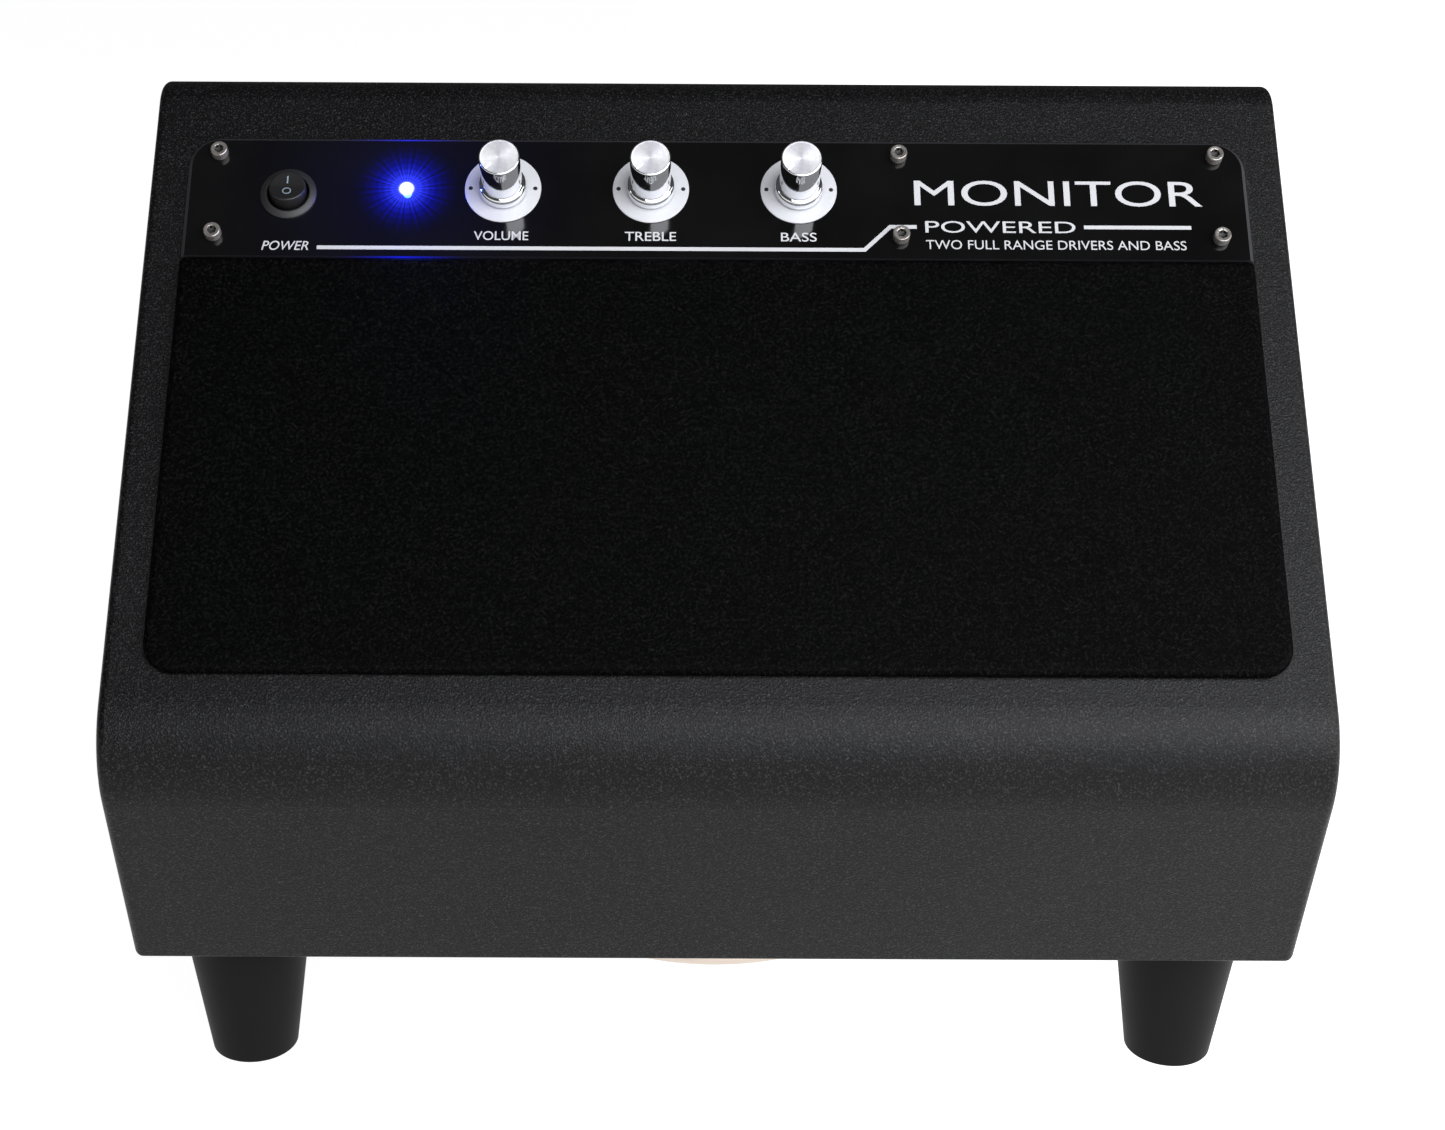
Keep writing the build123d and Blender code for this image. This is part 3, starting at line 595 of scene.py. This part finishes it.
def make_cloth():
    """Cloth stretched over the frame: tucked behind, rolled over the edge and flat in front."""
    back, front = grille_low.z + 0.1, grille_high.z
    back_round = 1.0
    edge = [(TUCK, back), (4.0, back), (1.2, back)]
    for angle in (25, 50, 75, 90):
        a = radians(angle)
        edge.append((back_round * (1 - sin(a)), back + back_round * (1 - cos(a))))
    for angle in range(10, 91, 10):
        a = radians(angle)
        edge.append((EDGE_ROUND * (1 - cos(a)), front - EDGE_ROUND * (1 - sin(a))))
    rings = [[(x, y, height) for x, y in grille_outline(inset)] for inset, height in edge]
    inset = EDGE_ROUND
    while inset + ROW < (grille_high.y - grille_low.y) / 2 - 0.2:
        inset += ROW
        fade = min(1.0, (inset - EDGE_ROUND) / 10.0)
        rings.append([(x, y, front - fade * cloth_drop(x, y)) for x, y in grille_outline(inset)])
    mesh = lofted("grille_cloth_fabric", rings, cap_low=False)
    finish = [finishes["grille_cloth"].material]
    piece = add_piece("grille_cloth_fabric", mesh, SLOPE, CABINET, finish, "grille_cloth", 80.0)


make_cloth()

# ------------------------------------------------------------------ fascia print
INK_HEIGHT = 0.03
LINE_WIDTH = 1.7
# Heights of the print are above the fascia's lower edge
PRINT = on_slope(0, fascia_low.y, fascia_high.z)


def flat_shape(name, outline, place, material, thickness=INK_HEIGHT, body=CABINET):
    """Thin plate with the given outline, in mm."""
    low = [(x, y, 0.0) for x, y in outline]
    high = [(x, y, thickness) for x, y in outline]
    return add_piece(name, lofted(name, [low, high]), place, body, [material], smooth=0)


def lettering(name, words, left, right, low, high, lean=0.0, weight=0.004, place=PRINT):
    """Plain capitals fitted into a rectangle, in mm."""
    curve = bpy.data.curves.new(name, "FONT")
    curve.body = words
    curve.offset = weight
    curve.extrude = 0.5
    curve.resolution_u = 6
    holder = bpy.data.objects.new(name + "_text", curve)
    bpy.context.scene.collection.objects.link(holder)
    bpy.context.view_layer.update()
    shaped = holder.evaluated_get(bpy.context.evaluated_depsgraph_get())
    mesh = bpy.data.meshes.new_from_object(shaped)
    bpy.data.objects.remove(holder)
    bpy.data.curves.remove(curve)
    mesh.name = name
    xs = [vertex.co.x for vertex in mesh.vertices]
    ys = [vertex.co.y for vertex in mesh.vertices]
    slant = tan(radians(lean))
    stretch = (right - left - slant * (high - low)) / (max(xs) - min(xs))
    rise = (high - low) / (max(ys) - min(ys))
    for vertex in mesh.vertices:
        y = (vertex.co.y - min(ys)) * rise
        x = (vertex.co.x - min(xs)) * stretch + y * slant
        vertex.co = Vector((left + x, low + y, INK_HEIGHT * (vertex.co.z + 0.5))) * MM
    mesh.materials.clear()
    return add_piece(name, mesh, place, CABINET, [ink], smooth=0)


def stroke(points, width):
    """Outline of a line of even width through a few points."""
    left, right = [], []
    for index, here in enumerate(points):
        ways = []
        for a, b in zip(points[max(0, index - 1):index + 1], points[max(1, index):index + 2]):
            length = hypot(b[0] - a[0], b[1] - a[1])
            ways.append(((b[0] - a[0]) / length, (b[1] - a[1]) / length))
        way = (sum(w[0] for w in ways) / len(ways), sum(w[1] for w in ways) / len(ways))
        size = hypot(*way)
        side = (-way[1] / size, way[0] / size)
        reach = width / 2 / size
        left.append((here[0] + side[0] * reach, here[1] + side[1] * reach))
        right.append((here[0] - side[0] * reach, here[1] - side[1] * reach))
    return right + left[::-1]


def make_print():
    """White print on the fascia: names of the controls, lines and generic words."""
    long_line = [(-162.0, 3.9), (59.6, 3.9), (70.3, 14.6), (81.0, 14.6)]
    flat_shape("print_long_line", stroke(long_line, LINE_WIDTH), PRINT, ink)
    short_line = [(149.0, 14.8), (192.6, 14.8)]
    flat_shape("print_short_line", stroke(short_line, LINE_WIDTH), PRINT, ink)
    lettering("print_power", "POWER", -184.4, -164.5, 2.6, 6.8, 12.0)
    lettering("print_volume", "VOLUME", -98.7, -76.6, 7.6, 11.7)
    lettering("print_treble", "TREBLE", -37.5, -16.7, 7.6, 11.7)
    lettering("print_bass", "BASS", 25.8, 40.3, 7.6, 11.7)
    lettering("print_title", "MONITOR", 80.5, 198.0, 24.6, 36.4, 0.0, 0.0)
    lettering("print_kind", "POWERED", 84.5, 145.5, 12.0, 17.4, 0.0, 0.0)
    lettering("print_detail", "TWO FULL RANGE DRIVERS AND BASS", 84.5, 190.0, 4.4, 8.6, 0.0, 0.0)


make_print()

# ------------------------------------------------------------------ knobs and discs
CONTROLS = ("volume", "treble", "bass")
POINTER_TURN = 225.0  # way the notch points at rest, in degrees from the right, turning up the slope
SEGMENTS = 128


def knob_profile(low, top, skirt_radius, radius):
    """Knob section: hollow foot, rounded skirt with a small ledge, straight wall, eased rim."""
    ledge = low + 5.0
    points = [(6.2, low + 2.6), (6.2, low + 0.3), (6.5, low), (skirt_radius - 0.3, low)]
    points += arc((skirt_radius - 0.4, low + 0.4), 0.4, -70, 0, 4)
    bulge = skirt_radius - radius - 0.35
    for step in range(17):
        turn = radians(90 * step / 16)
        points.append((radius + 0.35 + bulge * cos(turn), low + 1.0 + 3.3 * sin(turn)))
    points += [(radius - 0.25, ledge - 0.5), (radius - 0.25, ledge - 0.1), (radius, ledge + 0.1)]
    points += [(radius, (ledge + top) / 2), (radius, top - 0.7)]
    points += arc((radius - 0.6, top - 0.6), 0.6, 12, 84, 6)
    points += [(radius - 0.9, top - 0.02), (radius - 1.05, top - 0.08)]
    for reach in (7.0, 5.6, 4.2, 2.8, 1.4, 0.4):
        points.append((reach, top - 0.08 - 0.12 * (1 - (reach / 7.0) ** 2)))
    return points


def cut_notch(mesh, name, radius, top):
    """Cut the pointer notch into a knob's face."""
    knob = bpy.data.objects.new(name + "_blank", mesh)
    bm = bmesh.new()
    bmesh.ops.create_cube(bm, size=1.0)
    turn = Matrix.Rotation(radians(POINTER_TURN), 4, "Z")
    shift = Matrix.Translation(Vector((radius - 2.3, 0, top)) * MM)
    bm.transform(turn @ shift @ Matrix.Diagonal((3.4 * MM, 0.85 * MM, 0.9 * MM, 1)))
    cutter_mesh = bpy.data.meshes.new(name + "_cutter")
    bm.to_mesh(cutter_mesh)
    bm.free()
    cutter = bpy.data.objects.new(name + "_cutter", cutter_mesh)
    for made in (knob, cutter):
        bpy.context.scene.collection.objects.link(made)
    cut = knob.modifiers.new("notch", "BOOLEAN")
    cut.object = cutter
    cut.operation = "DIFFERENCE"
    cut.solver = "EXACT"
    bpy.context.view_layer.update()
    result = bpy.data.meshes.new_from_object(knob.evaluated_get(bpy.context.evaluated_depsgraph_get()))
    for made in (knob, cutter):
        bpy.data.objects.remove(made)
    result.name = name
    result.materials.clear()
    return result


def make_knobs():
    """Three turned knobs, each with a spun face and a white notch whose paint is given a painted glow."""
    spun = spun_metal().material
    bright = plain_finish(
        "notch_paint", (0.95, 0.95, 0.97), 0.3,
        grain=1500.0, depth=0.003, vary=0.03, drift=0.05, wear=0,
    )
    # The notch paint also glows a little: painted light that keeps the notch bright.
    bright.set(Emission_Color=(1, 1, 1, 1), Emission_Strength=0.25)
    for kind in CONTROLS:
        name = kind + "_knob_turned"
        place = at_joint(kind + "_turn")
        low, high = solids(kind + "_knob", place)[0]
        radius, top = 8.25, high.z
        rings = [circle(r, h, SEGMENTS) for r, h in knob_profile(low.z, top, high.x, radius)]
        mesh = cut_notch(lofted(name, rings), name, radius, top)
        finish = [finishes["chrome_knob"].material, spun, bright.material]
        piece = add_piece(name, mesh, place, kind + "_knob_body", finish, kind + "_knob", 30.0)
        for face in piece.data.polygons:
            centre = face.center / MM
            reach = hypot(centre.x, centre.y)
            if centre.z < top - 0.5 or reach > radius - 0.45:
                continue
            across = abs(reach * sin(atan2(centre.y, centre.x) - radians(POINTER_TURN)))
            if centre.z < top - 0.27 and across < 0.6:
                face.material_index = 2
            elif face.normal.z > 0.9 and reach < radius - 0.7:
                face.material_index = 1


def make_discs():
    """Silver discs with an eased rim and two dark dots each."""
    for kind, box in zip(CONTROLS, solids("knob_discs")):
        low, high = box
        outer, inner = (high.x - low.x) / 2, 4.4
        base, top = low.z + 0.02, high.z
        profile = [(inner, base), (outer - 0.25, base), (outer, base + 0.13), (outer, top - 0.2)]
        profile += [(outer - 0.18, top), (outer - 0.4, top + 0.02)]
        profile += [(inner + 0.2, top + 0.02), (inner, top - 0.1)]
        place = at_joint(kind + "_turn")
        mesh = looped(kind + "_disc", [circle(r, h, SEGMENTS) for r, h in profile])
        finish = [finishes["silver_disc"].material]
        add_piece(kind + "_disc", mesh, place, CABINET, finish, "knob_discs")
        for side, side_name in ((-1, "left"), (1, "right")):
            dot = [(13.2 * side + x, y) for x, y, _ in circle(0.9, 0, 32)]
            above = place @ Matrix.Translation((0, 0, (top + 0.01) * MM))
            flat_shape(f"{kind}_dot_{side_name}", dot, above, finishes["switch_plastic"].material)


make_knobs()
make_discs()


# ------------------------------------------------------------------ fascia screws
def knurled(radius, height, count=120, depth=0.05):
    """Circle with fine knurling."""
    ring = []
    for i in range(count):
        angle = 2 * pi * i / count
        reach = radius - (depth if i % 3 == 0 else 0.0)
        ring.append((reach * cos(angle), reach * sin(angle), height))
    return ring


def cap_screw(name, radius, base, top):
    """Socket cap screw: shank, knurled head, eased rim and a six-sided socket."""
    count = 120
    rings = [circle(1.9, base - 2.0, count), circle(1.9, base + 0.02, count)]
    rings += [circle(radius - 0.25, base + 0.02, count), circle(radius - 0.06, base + 0.2, count)]
    rings += [knurled(radius, base + 0.45, count), knurled(radius, top - 0.7, count)]
    rings += [circle(radius - 0.04, top - 0.45, count), circle(radius - 0.2, top - 0.15, count)]
    rings += [circle(radius - 0.45, top, count), circle(2.1, top, count)]
    rings += [hexagon(3.5, top - 0.12, count), hexagon(3.3, top - 0.35, count)]
    rings += [hexagon(3.3, top - 2.0, count)]
    rings += [circle(0.3, top - 2.3, count)]
    return lofted(name, rings)


def make_screws():
    """The fascia's six cap screws, each turned its own way, their sockets given a black finish as painted shade.
    """
    finish = [finishes["bright_screw"].material, finishes["switch_plastic"].material]
    for number, box in enumerate(solids("fascia_screws"), 1):
        centre, top = middle(box), box[1].z
        name = f"cap_screw_{number}"
        place = on_slope(centre.x, centre.y) @ Matrix.Rotation(radians(17.0 * number), 4, "Z")
        mesh = cap_screw(name, (box[1].x - box[0].x) / 2, fascia_high.z, top)
        piece = add_piece(name, mesh, place, CABINET, finish, "fascia_screws", 28.0)
        # Socket faces take the black nylon finish: painted shade inside the socket.
        for face in piece.data.polygons:
            if hypot(face.center.x, face.center.y) < 1.75 * MM and face.center.z > (top - 2.5) * MM:
                face.material_index = 1


make_screws()

# ------------------------------------------------------------------ rocker switch
SWITCH = at_joint("power_rock")
THROW = 8.0  # degrees each side of level
RESTING = SWITCH @ Matrix.Rotation(radians(-THROW), 4, "X")
ROCKER_RADIUS = 7.5
rocker_edge = solids("power_rocker", RESTING)[0][1].z
ROCKER_CREASE = rocker_edge - ROCKER_RADIUS * tan(radians(THROW))


def rocker_height(y):
    """Height of the level rocker's face, with a soft crease across its middle."""
    soft = 1.2
    return ROCKER_CREASE + tan(radians(THROW)) * (sqrt(y * y + soft) - sqrt(soft))


def on_rocker(y):
    """Frame on the rocker's face, at y from its crease."""
    tilt = THROW if y > 0 else -THROW
    lift = Matrix.Translation(Vector((0, y, rocker_height(y) - 0.1)) * MM)
    return RESTING @ lift @ Matrix.Rotation(radians(tilt), 4, "X")


def make_rocker():
    """Round rocker with a dished V-shaped face, an eased rim and its two marks."""
    rings = [circle(6.6, -5.0), circle(7.0, -4.6), circle(ROCKER_RADIUS, 1.0)]
    for drop, inset in ((0.7, 0.0), (0.4, 0.06), (0.18, 0.2), (0.04, 0.45)):
        outline = circle(ROCKER_RADIUS - inset, 0)
        rings.append([(x, y, rocker_height(y) - drop) for x, y, _ in outline])
    for radius in (6.6, 5.4, 4.2, 3.0, 1.8, 0.6):
        dish = 0.14 * (1 - (radius / ROCKER_RADIUS) ** 2)
        rings.append([(x, y, rocker_height(y) - dish) for x, y, _ in circle(radius, 0)])
    mesh = lofted("rocker_button", rings)
    plastic = [finishes["switch_plastic"].material]
    add_piece("rocker_button", mesh, RESTING, "rocker_body", plastic, "power_rocker", 40.0)
    faded = plain_finish(
        "faded_ink", (0.20, 0.25, 0.29), 0.5,
        grain=2500.0, depth=0.003, vary=0.06, drift=0.06, wear=0,
    ).material
    bar = stroke([(0.0, -1.7), (0.0, 1.7)], 0.55)
    flat_shape("rocker_on_mark", bar, on_rocker(3.3), faded, 0.08, "rocker_body")
    profile = [(1.8, 0.0), (1.8, 0.08), (1.35, 0.08), (1.35, 0.0)]
    ring = looped("rocker_off_mark", [circle(r, h, 48) for r, h in profile])
    add_piece("rocker_off_mark", ring, on_rocker(-2.3), "rocker_body", [faded], smooth=0)


def make_bezel():
    """Switch bezel: a flat sloping ring with an eased rim around the rocker's opening."""
    low, high = solids("switch_body", SWITCH)[0]
    radius, top, opening = high.x, high.z, 8.6
    base = fascia_high.z
    profile = [(9.75, base - 0.1), (radius - 0.15, base + 0.02), (radius, base + 0.2), (radius, base + 0.7)]
    profile += [(radius - 0.15, base + 0.95), (radius - 0.5, base + 1.15), (9.4, top - 0.06), (9.1, top)]
    profile += [(opening + 0.2, top - 0.05), (opening, top - 0.35), (opening, -7.9), (0.4, -8.0)]
    profile += [(0.4, low.z), (9.6, low.z), (9.75, low.z + 0.2)]
    mesh = looped("switch_bezel", [circle(r, h, SEGMENTS) for r, h in profile])
    matte = plain_finish(
        "bezel_nylon", (0.0105, 0.0105, 0.0115), 0.5,
        grain=1600.0, vary=0.1, drift=0.06, wear=0.3,
    )
    add_piece("switch_bezel", mesh, SWITCH, CABINET, [matte.material], "switch_body", 30.0)


make_rocker()
make_bezel()


def make_lens():
    """Indicator lens: straight barrel and a smooth dome."""
    centre = Vector((led_low.x + led_high.x, led_low.y + led_high.y, 0)) / 2
    radius = (led_high.x - led_low.x) / 2
    shoulder = fascia_high.z + 0.4
    dome = led_high.z - shoulder
    rings = [circle(radius, led_low.z, 64), circle(radius, shoulder, 64)]
    for angle in range(8, 89, 8):
        rings.append(circle(radius * cos(radians(angle)), shoulder + dome * sin(radians(angle)), 64))
    mesh = lofted("led_dome", rings)
    finish = [finishes["led_blue"].material]
    add_piece("led_dome", mesh, on_slope(centre.x, centre.y), CABINET, finish, "led_lens", 40.0)


make_lens()


# ------------------------------------------------------------------ labels on the back plate
def make_back_labels():
    """Small generic names beside the jacks and the mains inlet."""
    back = placed(Vector((0, 0, 0)), -RIGHT, Vector((0, 0, 1)), Vector((0, 1, 0)))
    plate_top = solids("amp_plate", back)[0][1].z
    for number, box in enumerate(solids("input_jacks", back), 1):
        centre = middle(box)
        place = back @ Matrix.Translation(Vector((centre.x, centre.y, plate_top)) * MM)
        lettering(f"label_input_{number}", f"INPUT {number}", -9.0, 9.0, 10.5, 13.0, place=place)
    low, high = solids("mains_inlet", back)[0]
    place = back @ Matrix.Translation(Vector(((low.x + high.x) / 2, high.y, plate_top)) * MM)
    lettering("label_mains", "MAINS", -8.0, 8.0, 3.0, 5.6, place=place)


make_back_labels()


# ------------------------------------------------------------------ studio
def area_light(name, bearing, elevation, distance, size, radiance, tint=(1, 1, 1)):
    """Soft box seen from the object at a bearing, 0 in front and 90 at the right, in degrees."""
    light = bpy.data.lights.new(name, "AREA")
    light.shape = "RECTANGLE"
    light.size, light.size_y = size
    light.energy = radiance * pi * size[0] * size[1]
    light.color = tint
    holder = bpy.data.objects.new(name, light)
    bpy.context.scene.collection.objects.link(holder)
    turn, tilt = radians(bearing), radians(elevation)
    flat = distance * cos(tilt)
    way = Vector((flat * sin(turn), -flat * cos(turn), distance * sin(tilt)))
    holder.location = Vector((0, 0, 0.25)) + way
    holder.rotation_euler = (-way).to_track_quat("-Z", "Y").to_euler()


def make_studio():
    """Pale floor, brighter to the right, with two soft boxes, a dim sky and the lamp's own glow."""
    world = bpy.data.worlds.new("studio")
    bpy.context.scene.world = world
    world.use_nodes = True
    background = world.node_tree.nodes["Background"]
    background.inputs["Color"].default_value = (1, 1, 1, 1)
    background.inputs["Strength"].default_value = 0.07
    far = 14.0
    corners = [(-far, -far, 0), (far, -far, 0), (far, far, 0), (-far, far, 0)]
    mesh = mesh_from("floor", corners, [(0, 1, 2, 3)], 1.0)
    floor = bpy.data.objects.new("floor", mesh)
    bpy.context.scene.collection.objects.link(floor)
    shader = plain_finish(
        "studio_floor", (0.12, 0.12, 0.12), 0.8,
        grain=200.0, depth=0.0, vary=0.004, drift=0.02, wear=0,
    )
    shader.set(Emission_Color=(1, 1, 1, 1))
    lit = shader.spread(shader.axis_value("X"), -0.1, 0.32, 0.97, 1.36)
    shader.link(lit, shader.surface.inputs["Emission Strength"])
    mesh.materials.append(shader.material)
    area_light("front_box", 30, 32, 1.9, (2.3, 1.55), 6.6, (0.96, 0.97, 1.0))
    area_light("right_box", 78, 12, 1.6, (1.1, 0.9), 2.6)
    glow = bpy.data.lights.new("lamp_glow", "POINT")
    glow.energy = 0.07
    glow.color = (0.02, 0.05, 1.0)
    glow.shadow_soft_size = 0.002
    holder = bpy.data.objects.new("lamp_glow", glow)
    bpy.context.scene.collection.objects.link(holder)
    holder.location = LAMP + NORMAL * 2.2 * MM


def make_camera():
    """Camera in front of the object, looking down on it and turned a little off level."""
    pitch, yaw, roll = radians(20.88), radians(0.07), radians(0.29)
    forward = Vector((sin(yaw) * cos(pitch), cos(yaw) * cos(pitch), -sin(pitch)))
    level = Vector((cos(yaw), -sin(yaw), 0))
    upward = level.cross(forward)
    right = level * cos(roll) + upward * sin(roll)
    data = bpy.data.cameras.new("camera")
    data.sensor_width = 36.0
    data.lens = 57.08
    data.shift_x = 0.0308
    data.shift_y = -0.0087
    camera = bpy.data.objects.new("camera", data)
    bpy.context.scene.collection.objects.link(camera)
    position = Vector((-0.0164, -0.8795, 0.5460))
    camera.matrix_world = placed(position, right, right.cross(forward), -forward)
    bpy.context.scene.camera = camera


make_studio()
make_camera()
bpy.context.scene.view_settings.view_transform = "Standard"
